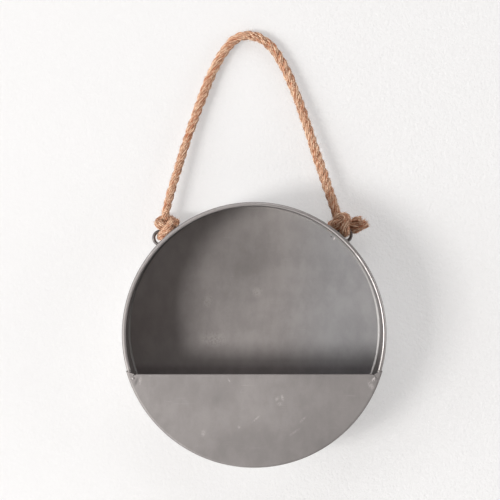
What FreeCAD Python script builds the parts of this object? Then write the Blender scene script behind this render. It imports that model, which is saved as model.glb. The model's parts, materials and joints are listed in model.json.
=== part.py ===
import FreeCAD, Part
import math
import os

V = FreeCAD.Vector

# A round sheet-metal wall pocket: an open-fronted drum whose lower front is closed as a pocket,
# hung from a knotted rope. Millimetres. The wall is the plane y = 0, the drum's axis is the Y
# axis, its open front faces -Y, +X is to the right seen from the front and +Z is up. The origin
# is the middle of the back disc, on the wall.

# Drum
DRUM_RADIUS = 125.0
DRUM_DEPTH = 80.0
SHEET = 0.8
DISC_CLEARANCE = 0.1
SOLDER_LEG = 1.6
SEAM_WIDTH = 10.0
SEAM_CLEARANCE = 0.1

# Rolled rim with a wire in it, round the open part of the front
RIM_WIRE_RADIUS = 1.1
RIM_WIRE_CLEARANCE = 0.1
RIM_WIRE_INSET = 0.6
RIM_END_RISE = 3.0

# Front panel of the pocket
PANEL_EDGE_DROP = 37.5
PANEL_CLEARANCE = 0.1
PANEL_BEND = 2.0
PANEL_FLANGE = 12.0
HEM_WIDTH = 8.0
HEM_END_GAP = 1.0
TAB_WIDTH = 7.3
TAB_SLOPE = 18.4
SLIT_WIDTH = 0.5
SLIT_ANGLE = 56.0
SOLDER_SPOT_RADIUS = 1.7
SOLDER_SPOT_HEIGHT = 0.5
SOLDER_SPOT_INSET = 1.2
SOLDER_SPOT_DROP = 3.9

# Wire ears that hold the rope
EAR_WIRE_RADIUS = 1.6
EAR_RADIUS = 6.6
EAR_STANDOFF = 4.4
EAR_DEPTH = 20.0
EAR_ANGLES = {"left": 135.0, "right": 46.9}
EAR_FOOT_GAP = 0.05
WELD_RADIUS = 2.5

# Rope: its free stretch, and each knot from the end of that, down behind its ear, out through
# it, round the rope and off to the cut end
ROPE_RADIUS = 4.0
KNOT_ROPE_RADIUS = 3.1
ROPE_TURN_CLEARANCE = 0.4
ROPE_POINTS = [
    (-86.8, -17.0, 116.0),
    (-83.2, -16.6, 131.0),
    (-77.0, -15.8, 152.0),
    (-67.2, -14.6, 184.0),
    (-54.6, -13.0, 221.0),
    (-42.0, -11.2, 254.0),
    (-30.4, -9.8, 275.6),
    (-16.0, -9.1, 291.4),
    (4.4, -9.0, 290.8),
    (18.6, -9.4, 279.4),
    (27.8, -10.6, 264.4),
    (38.0, -12.4, 243.0),
    (49.8, -14.0, 210.0),
    (61.6, -15.4, 172.0),
    (72.0, -16.4, 142.0),
    (80.6, -17.0, 116.0),
]
KNOT_POINTS = {
    "left": [
        (-86.8, -17.0, 116.0),
        (-87.8, -16.6, 107.5),
        (-89.0, -13.8, 99.5),
        (-90.4, -14.6, 93.5),
        (-91.0, -24.0, 92.7),
        (-88.6, -28.6, 97.0),
        (-84.2, -28.6, 103.8),
        (-80.6, -24.0, 110.0),
        (-80.2, -13.5, 112.0),
        (-86.8, -8.6, 111.6),
        (-93.6, -10.6, 109.0),
        (-95.2, -18.5, 106.2),
        (-91.4, -23.6, 103.6),
        (-84.8, -21.6, 102.2),
        (-79.8, -19.5, 102.2),
        (-74.2, -21.5, 106.2),
    ],
    "right": [
        (80.6, -17.0, 116.0),
        (82.6, -16.6, 108.0),
        (84.6, -14.0, 100.5),
        (88.3, -15.0, 96.6),
        (89.1, -24.0, 95.8),
        (89.8, -28.5, 99.2),
        (91.2, -28.4, 106.2),
        (90.2, -27.6, 112.2),
        (85.6, -27.0, 113.8),
        (80.6, -26.2, 108.4),
        (76.8, -21.5, 104.8),
        (76.2, -13.0, 104.8),
        (81.6, -7.0, 104.6),
        (88.6, -7.6, 103.6),
        (94.6, -13.0, 102.8),
        (100.4, -17.5, 102.6),
        (107.5, -19.0, 104.2),
    ],
}
ARC_SHARE = 0.45
KNOT_LEAST_SPACING = 12.0

# Sizes that follow from these
DRUM_INSIDE = DRUM_RADIUS - SHEET
BEAD_INSIDE = RIM_WIRE_RADIUS + RIM_WIRE_CLEARANCE
BEAD_RADIUS = BEAD_INSIDE + SHEET
BEAD_CENTRE = (DRUM_RADIUS - BEAD_RADIUS, BEAD_RADIUS - DRUM_DEPTH)
DISC_RADIUS = DRUM_INSIDE - DISC_CLEARANCE
PANEL_RADIUS = DRUM_RADIUS + PANEL_CLEARANCE + SHEET
PANEL_CORNER_X = math.sqrt(PANEL_RADIUS**2 - PANEL_EDGE_DROP**2) - TAB_WIDTH
RIM_END_ANGLE = math.degrees(math.asin((PANEL_EDGE_DROP - RIM_END_RISE) / DRUM_RADIUS))
SIDES = {"left": -1.0, "right": 1.0}

DRUM_AXIS = V(0, -1, 0)
ORIGIN = V(0, 0, 0)
OUTSIDE = 2.0 * DRUM_RADIUS


def on_circle(centre, radius, degrees):
    """The point of a circle at that angle, in the plane of a turned profile."""
    angle = math.radians(degrees)
    return (centre[0] + radius * math.cos(angle), centre[1] + radius * math.sin(angle))


def flat_face(to_vector, start, *steps):
    """A closed face. A step is a corner, or a pair: an arc's middle and its end."""
    edges = []
    here = to_vector(start)
    for step in steps + (start,):
        is_arc = isinstance(step[0], tuple)
        there = to_vector(step[1] if is_arc else step)
        if is_arc:
            edges.append(Part.Arc(here, to_vector(step[0]), there).toShape())
        elif (there - here).Length > 1e-6:
            edges.append(Part.LineSegment(here, there).toShape())
        here = there
    return Part.Face(Part.Wire(edges))


def profile(start, *steps):
    """A face of (radius, y) points, ready to be turned about the drum's axis."""
    return flat_face(lambda p: V(p[0], p[1], 0), start, *steps)


def turned(face, start=0.0, sweep=360.0):
    """The face turned about the drum's axis, from an angle that runs from +X towards +Z."""
    solid = face.revolve(ORIGIN, DRUM_AXIS, sweep)
    solid.rotate(ORIGIN, DRUM_AXIS, start)
    return solid


def front_prism(y_front, y_back, start, *steps):
    """A front-view outline of (x, z) points, made a solid between two planes."""
    face = flat_face(lambda p: V(p[0], y_front, p[1]), start, *steps)
    return face.extrude(V(0, y_back - y_front, 0))


def around_drum(radius, degrees, y):
    """A point at that distance from the drum's axis and that angle from +X towards +Z."""
    angle = math.radians(degrees)
    return V(radius * math.cos(angle), y, radius * math.sin(angle))


def back_disc():
    return Part.makeCylinder(DISC_RADIUS, SHEET, ORIGIN, DRUM_AXIS)


def back_solder():
    """A fillet of solder all round the corner between the disc and the band."""
    return turned(
        profile(
            (DISC_RADIUS, -SHEET),
            (DRUM_INSIDE - SOLDER_LEG, -SHEET),
            (DRUM_INSIDE, -SHEET - SOLDER_LEG),
            (DRUM_INSIDE, -SHEET),
        )
    )


def side_band():
    """The wall of the drum: its front edge is rolled inwards, except behind the panel."""
    x, y = BEAD_CENTRE
    rolled = profile(
        (DRUM_RADIUS, 0),
        (DRUM_RADIUS, y),
        (on_circle(BEAD_CENTRE, BEAD_RADIUS, 270), (x - BEAD_RADIUS, y)),
        (on_circle(BEAD_CENTRE, BEAD_RADIUS, 135), (x, y + BEAD_RADIUS)),
        (x, y + BEAD_INSIDE),
        (on_circle(BEAD_CENTRE, BEAD_INSIDE, 135), (x - BEAD_INSIDE, y)),
        (on_circle(BEAD_CENTRE, BEAD_INSIDE, 270), (x + BEAD_INSIDE, y)),
        (DRUM_INSIDE, 0),
    )
    plain_front = PANEL_BEND - DRUM_DEPTH
    plain = profile(
        (DRUM_RADIUS, 0), (DRUM_RADIUS, plain_front), (DRUM_INSIDE, plain_front), (DRUM_INSIDE, 0)
    )
    open_sweep = 180.0 + 2.0 * RIM_END_ANGLE
    upper = turned(rolled, -RIM_END_ANGLE, open_sweep)
    lower = turned(plain, 180.0 + RIM_END_ANGLE, 360.0 - open_sweep)
    return upper.fuse(lower).removeSplitter()


def rim_wire():
    """The wire that the rim is rolled round. It ends just inside the roll."""
    inset = math.degrees(RIM_WIRE_INSET / BEAD_CENTRE[0])
    centre = V(BEAD_CENTRE[0], BEAD_CENTRE[1], 0)
    section = Part.Face(Part.Wire(Part.makeCircle(RIM_WIRE_RADIUS, centre, V(0, 0, 1))))
    return turned(section, inset - RIM_END_ANGLE, 180.0 + 2.0 * (RIM_END_ANGLE - inset))


def seam_strip():
    """The strap inside the bottom of the band, soldered over its butted ends."""
    outside = DRUM_INSIDE - SEAM_CLEARANCE
    inside = outside - SHEET
    back = -SHEET - SOLDER_LEG
    front = PANEL_BEND - DRUM_DEPTH
    section = profile((outside, back), (outside, front), (inside, front), (inside, back))
    sweep = math.degrees(SEAM_WIDTH / outside)
    return turned(section, 270.0 - sweep / 2.0, sweep)


def panel_pan():
    """The panel before it is cut: a shallow round pan that fits over the band's front."""
    x = PANEL_RADIUS - PANEL_BEND
    y = PANEL_BEND - DRUM_DEPTH
    inner_bend = PANEL_BEND - SHEET
    back = PANEL_FLANGE - DRUM_DEPTH
    return turned(
        profile(
            (0, -DRUM_DEPTH),
            (x, -DRUM_DEPTH),
            (on_circle((x, y), PANEL_BEND, 315), (PANEL_RADIUS, y)),
            (PANEL_RADIUS, back),
            (PANEL_RADIUS - SHEET, back),
            (PANEL_RADIUS - SHEET, y),
            (on_circle((x, y), inner_bend, 315), (x, SHEET - DRUM_DEPTH)),
            (0, SHEET - DRUM_DEPTH),
        )
    )


def panel_outline():
    """All below the panel's straight top edge, which rises over the tab at each corner."""
    rise = (OUTSIDE - PANEL_CORNER_X) * math.tan(math.radians(TAB_SLOPE))
    edge = -PANEL_EDGE_DROP - SHEET
    return front_prism(
        -OUTSIDE,
        PANEL_FLANGE - DRUM_DEPTH,
        (-OUTSIDE, -OUTSIDE),
        (OUTSIDE, -OUTSIDE),
        (OUTSIDE, rise - PANEL_EDGE_DROP),
        (PANEL_CORNER_X, -PANEL_EDGE_DROP),
        (PANEL_CORNER_X, edge),
        (-PANEL_CORNER_X, edge),
        (-PANEL_CORNER_X, -PANEL_EDGE_DROP),
        (-OUTSIDE, rise - PANEL_EDGE_DROP),
    )


def hem():
    """The panel's top edge folded flat to the inside, with a round nose."""
    end = PANEL_CORNER_X - HEM_END_GAP
    middle = SHEET - DRUM_DEPTH
    top = -PANEL_EDGE_DROP - SHEET
    low = -PANEL_EDGE_DROP - HEM_WIDTH
    face = flat_face(
        lambda p: V(-end, p[0], p[1]),
        (middle - SHEET, top),
        ((middle, top + SHEET), (middle + SHEET, top)),
        (middle + SHEET, low),
        (middle, low),
        (middle, top - SHEET),
        (middle - SHEET, top - SHEET),
    )
    return face.extrude(V(2.0 * end, 0, 0))


def corner_slit(side):
    """The cut between the panel's face and the tab at its corner, down to the bend."""
    reach = math.hypot(DRUM_RADIUS, PANEL_EDGE_DROP)
    slit = Part.makeBox(reach, 2.0 * SHEET, SLIT_WIDTH, V(0, -SHEET / 2.0, -SLIT_WIDTH / 2.0))
    slit.rotate(ORIGIN, V(0, 1, 0), SLIT_ANGLE)
    slit.translate(V(PANEL_CORNER_X, -DRUM_DEPTH, -PANEL_EDGE_DROP))
    flat = Part.makeCylinder(PANEL_RADIUS - PANEL_BEND, DRUM_DEPTH * 2.0, ORIGIN, DRUM_AXIS)
    slit = slit.common(flat)
    return slit if side == "right" else slit.mirror(ORIGIN, V(1, 0, 0))


def front_panel():
    panel = panel_pan().common(panel_outline()).fuse(hem())
    for side in SIDES:
        panel = panel.cut(corner_slit(side))
    return panel.removeSplitter()


def solder_spot(side):
    """A flat drop of solder on the panel's face, beside the slit."""
    height = SOLDER_SPOT_HEIGHT
    radius = (SOLDER_SPOT_RADIUS**2 + height**2) / (2.0 * height)
    x = SIDES[side] * (PANEL_CORNER_X + SOLDER_SPOT_INSET)
    centre = V(x, radius - height - DRUM_DEPTH, -PANEL_EDGE_DROP - SOLDER_SPOT_DROP)
    behind = Part.makeBox(
        4.0 * radius,
        4.0 * radius,
        4.0 * radius,
        V(x - 2.0 * radius, -DRUM_DEPTH, centre.z - 2.0 * radius),
    )
    return Part.makeSphere(radius, centre).cut(behind)


def rim_end_solder(side, band, wire, panel):
    """The drop of solder that closes the rim's end and holds it to the tab."""
    drop = RIM_END_ANGLE + math.degrees(BEAD_INSIDE / DRUM_RADIUS)
    angle = -drop if side == "right" else 180.0 + drop
    drop_shape = Part.makeSphere(
        BEAD_RADIUS - RIM_WIRE_CLEARANCE, around_drum(BEAD_CENTRE[0], angle, BEAD_CENTRE[1])
    )
    wall = turned(
        profile((DRUM_INSIDE, 0), (DRUM_INSIDE, -OUTSIDE), (OUTSIDE, -OUTSIDE), (OUTSIDE, 0))
    )
    drop_shape = drop_shape.cut(band).cut(wire).cut(panel).cut(wall)
    return max(drop_shape.Solids, key=lambda solid: solid.Volume)


def ear_centre(side):
    return around_drum(DRUM_RADIUS + EAR_STANDOFF, EAR_ANGLES[side], -EAR_DEPTH)


def ear(side):
    """A wire ring whose two feet are cut to the band's round outside."""
    ring = Part.makeTorus(EAR_RADIUS, EAR_WIRE_RADIUS, ear_centre(side), V(0, 1, 0))
    band = Part.makeCylinder(DRUM_RADIUS + EAR_FOOT_GAP, OUTSIDE, ORIGIN, DRUM_AXIS)
    return ring.cut(band)


def ear_welds(ears):
    """A bead of weld round each foot of each ear."""
    band = Part.makeCylinder(DRUM_RADIUS, OUTSIDE, ORIGIN, DRUM_AXIS)
    ring_distance = DRUM_RADIUS + EAR_STANDOFF
    foot_distance = DRUM_RADIUS + EAR_WIRE_RADIUS / 2.0
    half = math.acos(
        (ring_distance**2 + foot_distance**2 - EAR_RADIUS**2)
        / (2.0 * ring_distance * foot_distance)
    )
    welds = []
    for side, angle in EAR_ANGLES.items():
        for turn in (-half, half):
            foot = around_drum(foot_distance, angle + math.degrees(turn), -EAR_DEPTH)
            weld = Part.makeSphere(WELD_RADIUS, foot).cut(band).cut(ears[side])
            welds.append(max(weld.Solids, key=lambda solid: solid.Volume))
    return Part.makeCompound(welds)


def rounded_route(points):
    """Straight runs joined by tangent arcs, with the arcs' radii and the whole length."""
    points = [V(*p) for p in points]
    edges = []
    radii = []
    here = points[0]
    for before, corner, after in zip(points, points[1:], points[2:]):
        come = (corner - before).normalize()
        leave = (after - corner).normalize()
        half = come.getAngle(leave) / 2.0
        trim = ARC_SHARE * min((corner - before).Length, (after - corner).Length)
        radius = trim / math.tan(half)
        inwards = (leave - come).normalize()
        middle = corner + inwards * (radius / math.cos(half) - radius)
        start = corner - come * trim
        end = corner + leave * trim
        edges.append(Part.LineSegment(here, start).toShape())
        edges.append(Part.Arc(start, middle, end).toShape())
        radii.append(radius)
        here = end
    edges.append(Part.LineSegment(here, points[-1]).toShape())
    return Part.Wire(edges), radii


def rope_tube(name, points, radius):
    """A round tube along a route, whose volume is compared with its section times length."""
    route, radii = rounded_route(points)
    heading = V(*points[1]) - V(*points[0])
    section = Part.Wire(Part.makeCircle(radius, V(*points[0]), heading))
    tube = route.makePipeShell([section], True, False)
    share = tube.Volume / (math.pi * radius**2 * route.Length)
    print(f"{name}: length {route.Length:.1f}, volume {share:.4f} of section times length")
    print("  radii " + " ".join(f"{r:.1f}" for r in radii))
    return tube, route


def least_gap(route, radius):
    """The least room between two stretches of one tube that aren't neighbours."""
    points = route.discretize(Distance=1.5)
    least = OUTSIDE
    for i, a in enumerate(points):
        for j in range(i + 1, len(points)):
            if (j - i) * 1.5 > KNOT_LEAST_SPACING:
                least = min(least, (a - points[j]).Length)
    return least - 2.0 * radius


def rope_end(side):
    """The loop's last point on that side, which is the top of its knot, and the one before."""
    end, before = ROPE_POINTS[:2] if side == "left" else ROPE_POINTS[:-3:-1]
    return V(*end), V(*before)


def rope():
    """The free loop of rope. Its ends are round, so that it can turn over on its knots."""
    tube, _route = rope_tube("rope", ROPE_POINTS, ROPE_RADIUS)
    for side in SIDES:
        end, before = rope_end(side)
        tube = tube.fuse(Part.makeSphere(ROPE_RADIUS, end, before - end, -90, 0, 360))
    return tube


def rope_knot(side):
    """One knot, cut clear of the loop both hanging and folded forward by a quarter turn."""
    tube, route = rope_tube(f"rope_knot_{side}", KNOT_POINTS[side], KNOT_ROPE_RADIUS)
    print(f"  least gap to itself {least_gap(route, KNOT_ROPE_RADIUS):.2f}")
    top, above = rope_end(side)
    upright = above - top
    folded = V(upright.x, -upright.z, upright.y)
    room = ROPE_RADIUS + ROPE_TURN_CLEARANCE
    tube = tube.cut(Part.makeSphere(room, top))
    return tube.cut(Part.makeCylinder(room, folded.Length, top, folded))


def build():
    band = side_band()
    wire = rim_wire()
    panel = front_panel()
    ears = {side: ear(side) for side in SIDES}
    solder = [solder_spot(side) for side in SIDES]
    solder += [rim_end_solder(side, band, wire, panel) for side in SIDES]
    shapes = {
        "back_disc": back_disc(),
        "back_solder": back_solder(),
        "side_band": band,
        "rim_wire": wire,
        "seam_strip": seam_strip(),
        "front_panel": panel,
        "corner_solder": Part.makeCompound(solder),
        "ear_left": ears["left"],
        "ear_right": ears["right"],
        "ear_welds": ear_welds(ears),
        "rope": rope(),
        "rope_knot_left": rope_knot("left"),
        "rope_knot_right": rope_knot("right"),
    }
    os.makedirs("parts", exist_ok=True)
    for name, shape in shapes.items():
        box = shape.BoundBox
        print(
            f"{name}: {len(shape.Solids)} solid, valid {shape.isValid()}, {shape.Volume:.0f} mm3, "
            f"x {box.XMin:.1f} {box.XMax:.1f}, y {box.YMin:.1f} {box.YMax:.1f}, "
            f"z {box.ZMin:.1f} {box.ZMax:.1f}"
        )
        shape.exportStep(f"parts/{name}.step")


build()
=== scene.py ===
"""Dresses the round sheet-metal wall planter: galvanised sheet, tin solder and a knotted jute rope."""

import json
import math
import random

import bmesh
import bpy
from mathutils import Matrix, Vector, noise
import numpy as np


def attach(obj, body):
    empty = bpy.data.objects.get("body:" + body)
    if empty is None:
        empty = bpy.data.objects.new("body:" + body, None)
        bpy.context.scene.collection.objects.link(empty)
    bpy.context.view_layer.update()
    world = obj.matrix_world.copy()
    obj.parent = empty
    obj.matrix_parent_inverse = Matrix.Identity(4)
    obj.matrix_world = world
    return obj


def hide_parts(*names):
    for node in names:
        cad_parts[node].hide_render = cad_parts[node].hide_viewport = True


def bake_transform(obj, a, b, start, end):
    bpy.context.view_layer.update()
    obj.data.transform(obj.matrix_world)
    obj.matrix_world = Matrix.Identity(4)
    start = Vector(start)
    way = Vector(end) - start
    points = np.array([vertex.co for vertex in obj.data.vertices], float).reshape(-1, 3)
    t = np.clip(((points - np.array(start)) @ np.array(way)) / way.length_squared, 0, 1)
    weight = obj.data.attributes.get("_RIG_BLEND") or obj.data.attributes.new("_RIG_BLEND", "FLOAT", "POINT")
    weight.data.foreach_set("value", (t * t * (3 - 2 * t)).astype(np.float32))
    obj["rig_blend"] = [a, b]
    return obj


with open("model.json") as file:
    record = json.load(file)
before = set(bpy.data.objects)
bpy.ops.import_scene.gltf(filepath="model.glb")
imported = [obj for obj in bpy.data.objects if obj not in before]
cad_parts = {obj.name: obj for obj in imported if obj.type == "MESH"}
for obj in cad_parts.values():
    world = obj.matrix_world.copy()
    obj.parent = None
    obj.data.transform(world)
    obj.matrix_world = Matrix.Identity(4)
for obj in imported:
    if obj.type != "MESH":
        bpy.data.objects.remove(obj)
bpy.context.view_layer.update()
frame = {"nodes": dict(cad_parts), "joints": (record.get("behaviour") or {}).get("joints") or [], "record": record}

bl_info = {
    "name": "Hanging wall planter",
    "version": (1, 0, 0),
    "blender": (4, 5, 0),
    "location": "3D View > Sidebar > Planter",
    "description": "Dresses a sheet-metal wall planter and lays its jute rope",
    "category": "Object",
}

TAU = math.tau
MM = 0.001
METAL_BODY = "planter"
LOOP_BODY = "rope_loop"

# The rope's free loop, and each knot from the end of the loop to the cut end, in metres
LOOP_ROUTE = [
    (-0.0868, -0.0170, 0.1160),
    (-0.0832, -0.0166, 0.1310),
    (-0.0770, -0.0148, 0.1520),
    (-0.0672, -0.0118, 0.1840),
    (-0.0546, -0.0088, 0.2210),
    (-0.0420, -0.0070, 0.2540),
    (-0.0304, -0.0062, 0.2756),
    (-0.0160, -0.0060, 0.2914),
    (0.0044, -0.0060, 0.2908),
    (0.0186, -0.0062, 0.2794),
    (0.0278, -0.0070, 0.2644),
    (0.0380, -0.0082, 0.2430),
    (0.0498, -0.0106, 0.2100),
    (0.0616, -0.0134, 0.1720),
    (0.0720, -0.0156, 0.1420),
    (0.0806, -0.0170, 0.1160),
]
KNOT_ROUTES = {
    "left": [
        (-0.0868, -0.0170, 0.1160),
        (-0.0878, -0.0166, 0.1075),
        (-0.0890, -0.0138, 0.0995),
        (-0.0904, -0.0146, 0.0935),
        (-0.0910, -0.0240, 0.0927),
        (-0.0876, -0.0286, 0.0964),
        (-0.0827, -0.0288, 0.1012),
        (-0.0796, -0.0240, 0.1068),
        (-0.0792, -0.0135, 0.1088),
        (-0.0860, -0.0086, 0.1098),
        (-0.0924, -0.0106, 0.1086),
        (-0.0944, -0.0185, 0.1060),
        (-0.0906, -0.0236, 0.1034),
        (-0.0848, -0.0216, 0.1022),
        (-0.0798, -0.0195, 0.1026),
        (-0.0762, -0.0225, 0.1052),
        (-0.0752, -0.0275, 0.1064),
    ],
    "right": [
        (0.0806, -0.0170, 0.1160),
        (0.0826, -0.0166, 0.1080),
        (0.0846, -0.0140, 0.1005),
        (0.0883, -0.0150, 0.0966),
        (0.0891, -0.0240, 0.0958),
        (0.0878, -0.0290, 0.0988),
        (0.0882, -0.0292, 0.1054),
        (0.0888, -0.0284, 0.1112),
        (0.0852, -0.0276, 0.1120),
        (0.0812, -0.0272, 0.1052),
        (0.0778, -0.0230, 0.1026),
        (0.0766, -0.0130, 0.1040),
        (0.0816, -0.0070, 0.1046),
        (0.0886, -0.0076, 0.1036),
        (0.0946, -0.0130, 0.1028),
        (0.1004, -0.0175, 0.1026),
        (0.1075, -0.0190, 0.1042),
    ],
}

# The rope's radius in millimetres at shares of its way along the loop, left to right, and along
# each knot, from the loop to the cut end
LOOP_RADII = [(0.0, 4.0), (0.15, 4.1), (0.35, 4.7), (0.5, 4.6), (0.75, 4.6), (0.9, 4.9), (1.0, 4.9)]
KNOT_RADII = {
    "left": [(0.0, 4.0), (0.1, 4.1), (0.3, 4.4), (0.5, 4.6), (0.8, 4.5), (0.92, 3.8), (1.0, 2.9)],
    "right": [(0.0, 4.9), (0.1, 4.7), (0.28, 4.5), (0.42, 5.8), (0.55, 5.4), (0.8, 4.8), (1.0, 5.9)],
}
# How far each strand strays from the rope at its cut end, in millimetres, and from what share of
# the knot's length it does
TAIL_FANS = {
    "left": (0.92, [(0.5, 0.0, 0.4), (0.0, 0.0, -0.3), (-0.4, 0.0, 0.2)]),
    "right": (0.80, [(-3.0, -1.0, 4.8), (1.6, 1.0, 3.4), (-2.8, -0.5, -3.6)]),
}

# The rope's middle line: the curve's steps from point to point, and the way from ring to ring
SPLINE_STEPS = 24
RING_STEP = 0.8 * MM
# How far above the hinge the loop has turned fully
BEND_HEIGHT = 24 * MM

# A strand's radius is a share of the rope's. Its turn wanders, in radians, and so does the rope's
# thickness, as a share. Neither does at the ends, where a knot's strands follow on from the loop's.
STRANDS = 3
STRAND_SHARE = 0.59
WANDER = 0.35
WANDER_LENGTH = 24 * MM
THICKENING = 0.10
THICKENING_LENGTH = 12 * MM
EVEN_END = 12 * MM
# How suddenly a frayed end's strands part, and how much they swell there
FRAY_POWER = 1.6
FRAY_SWELL = 0.3
# The yarns in a strand's side, and how deep their grooves are and how much they swell, as shares of
# the strand's radius
YARNS = 7
SIDES_PER_YARN = 4
YARN_GROOVE = 0.42
YARN_SWELL = 0.16
SWELL_LENGTH = 7 * MM
# A crevice between strands starts at a share of the rope's radius and is deepest so much further in.
# Then how dark the painted shade in crevices and the yarns' grooves is, and how the yarns' own tone varies along
# them.
CREVICE_START = 0.84
CREVICE_DEPTH = 0.32
CREVICE_SHADE = 0.6
GROOVE_SHADE = 0.95
SHADE_LENGTH = 3.5 * MM
SHADE_CONTRAST = 2.4
# Steps through smooth noise from one strand or yarn to the next, and from one batch to the next
TURN_STEPS = (5.7, 90.0)
THICKNESS_STEPS = (3.1, 4.0)
SWELL_STEPS = (7.3, 3.1)
SHADE_STEPS = (3.7, 1.9)
WELD_DISTANCE = 1e-8

# Where fibres can start: outside the crevices, on the yarns' backs, and there only by chance
OPEN_CREVICE = 0.3
YARN_BACK = 0.6
ROOT_CHANCE = 0.25
TIP_ROOTS = 90
# Fibres that lie on the rope: how many there are for each loose one, how much thicker they are, how
# many rings they span in how many steps, how far they slip round the strand, in radians, and how far
# their ends lift off it
LYING_SHARE = 0.65
LYING_THICKNESS = 1.6
FIBRE_RINGS = 12
FIBRE_STEPS = 6
FIBRE_SLIP = 0.6
FIBRE_LIFT = 0.09
# Loose fibres and the tufts at the cut ends: least and most length in millimetres, and lift
HAIR_REACH = (2.0, 7.0)
HAIR_LIFT = (0.25, 1.05)
TUFT_REACH = {"left": (0.5, 1.4), "right": (1.0, 3.6)}
TUFT_LIFT = (0.0, 0.6)
HAIR_RADIUS = 0.09 * MM
HAIR_STEPS = 5
HAIR_LEAN = 0.5
HAIR_ROOT = 0.15 * MM
HAIR_RISE = 3.4 * MM
# A hair's slope at its root, how that grows, how much a high one falls short, and how it tapers
HAIR_SLOPE = 0.35
HAIR_CURL = 0.5
HAIR_SHORTENING = 0.35
HAIR_TAPER = 0.7
LOOP_SEED = 1
KNOT_SEED = 5

# The stage, in metres and watts
STAGE_HALF = 2.5
WALL_GAP = 1 * MM
FLOOR_HEIGHT = -1.25
UPRIGHT = math.pi / 2.0
WALL_PLACE = Matrix.Translation((0.0, WALL_GAP, 0.0)) @ Matrix.Rotation(UPRIGHT, 4, "X")
FLOOR_PLACE = Matrix.Translation((0.0, 0.0, FLOOR_HEIGHT))
KEY_PLACE = (-2.91, -3.60, -0.83)
KEY_SIZE = (1.65, 0.95)
KEY_COLOUR = (1.0, 0.99, 0.975)
SIDE_COLOUR = (0.97, 0.985, 1.0)
# The lights that graze the wall, so that they hardly reach into the drum: place, size and power
SIDE_LIGHTS = {
    "window": ((-4.3, -2.55, 0.0), (2.2, 2.2), 86.0),
    "right": ((2.4, -1.1, 0.3), (1.6, 1.6), 18.0),
    "top": ((-0.3, -2.2, 3.3), (2.8, 2.8), 62.0),
}
AMBIENT_COLOUR = (1.0, 0.74, 0.70, 1.0)
WHITE = (1.0, 1.0, 1.0, 1.0)
# The plaster, which gets coarser from one x to another, from one strength to another. A ray that has
# come no further than the clearing doesn't meet it, so that it doesn't darken the planter's back.
PLASTER_ROUGHNESS = 0.9
PLASTER_GRAIN = {"scale": 330.0, "detail": 4.0, "roughness": 0.6}
PLASTER_DEPTH = 1.1 * MM
PLASTER_COARSENING = (-0.05, 0.12, 0.4, 1.0)
PLASTER_GLOW = 1.1
WALL_CLEARING = 3.0 * MM

# The sheet's finish. NOISE is a noise texture's settings, whose values lie round 0.5, and EDGES are
# the values, or places in metres, from which and to which a mask rises.
CLOUD_NOISE = {"scale": 22.0, "detail": 3.0, "roughness": 0.55}
CLOUD_EDGES = (0.35, 0.65)
PATCH_NOISE = {"scale": 75.0, "detail": 4.0, "roughness": 0.6}
PATCH_EDGES = (0.3, 0.7)
PATCH_STRETCH = (1.0, 1.0, 0.6)
GRAIN_NOISE = {"scale": 650.0, "detail": 3.0, "roughness": 0.7}
MOTTLING = 0.36
GRAIN = 0.36
# Scratches run in a few directions, in radians, and only where the sheet was handled
SCRATCH_TURNS = (0.35, 1.1, 2.2)
SCRATCH_STRETCH = (30.0, 30.0, 900.0)
SCRATCH_EDGES = (0.68, 0.74)
HANDLED_NOISE = {"scale": 35.0, "detail": 2.0}
HANDLED_EDGES = (0.50, 0.68)
SCRATCHES = 0.3
DENT_NOISE = {"scale": 14.0, "detail": 2.0}
GRAIN_HEIGHT = 0.01
SHEET_BUMP = {"strength": 0.5, "distance": 0.8 * MM}
# How light the sheet is where it is dull, fresh and scratched bare
DULL_SHEET = 0.92
FRESH_SHEET = 1.07
BARE_SHEET = 1.45
# Its roughness goes from a range above its own to a range below it as its shade rises, and it can
# get duller to the left
SHADE_EDGES = (0.2, 0.9)
ROUGHNESS_RANGE = 0.03
DULL_SIDE_EDGES = (0.03, -0.06)
# Where the rim is rolled, and where it turns away from the eye and gets a painted shade of this colour
RIM_EDGES = (-0.0775, -0.0788)
TURNED_EDGES = (0.30, 0.75)
TURNED_SHADE_COLOUR = (0.05, 0.05, 0.05, 1.0)
SCUFF_NOISE = {"scale": 600.0, "detail": 2.0}
SCUFF_EDGES = (0.35, 0.55)
SCUFF_FADE = (1.0, 0.1)
# How light worn-through scuff marks and painted highlights are, and how dark grime and painted shade are
SCUFF_BARE_AND_HIGHLIGHT = 1.9
SCUFF_DIRT_AND_SHADE = 0.35
# Wire and solder
METAL_EDGES = (0.3, 0.7)
DULL_METAL = 0.8
FRESH_METAL = 1.15
METAL_ROUGHNESS_RANGE = (0.06, -0.04)
METAL_BUMP = {"strength": 0.5, "distance": 0.4 * MM}
WIRE_GRAIN = 600.0
SOLDER_GRAIN = 900.0
# How much paler each piece is than its metal's colour, how rough it is, how much rougher it gets to
# the left, and how bright its rim stays under the painted shade where it turns away
SHEET_FINISH = {
    "front_panel": {"paler": 1.06, "roughness": 0.75},
    "side_band": {"paler": 1.0, "roughness": 0.45, "dull_side": 0.22, "edge": 0.3},
    # The back disc is paler than the panel as painted light, making up for the light that the drum keeps off it
    "back_disc": {"paler": 1.25, "roughness": 0.76},
    # The back solder's paleness is partly the solder's own and partly a painted highlight on the joint
    "back_solder": {"paler": 1.2, "roughness": 0.36},
}

# Jute: how fine its streaks, its fibres and its specks of bark are, along a yarn and across it
STREAK_STRETCH = (110.0, 1000.0, 1.0)
FINE_STRETCH = (260.0, 4200.0, 1.0)
SPECK_STRETCH = (330.0, 850.0, 1.0)
SPECK_EDGES = (0.53, 0.62)
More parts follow.
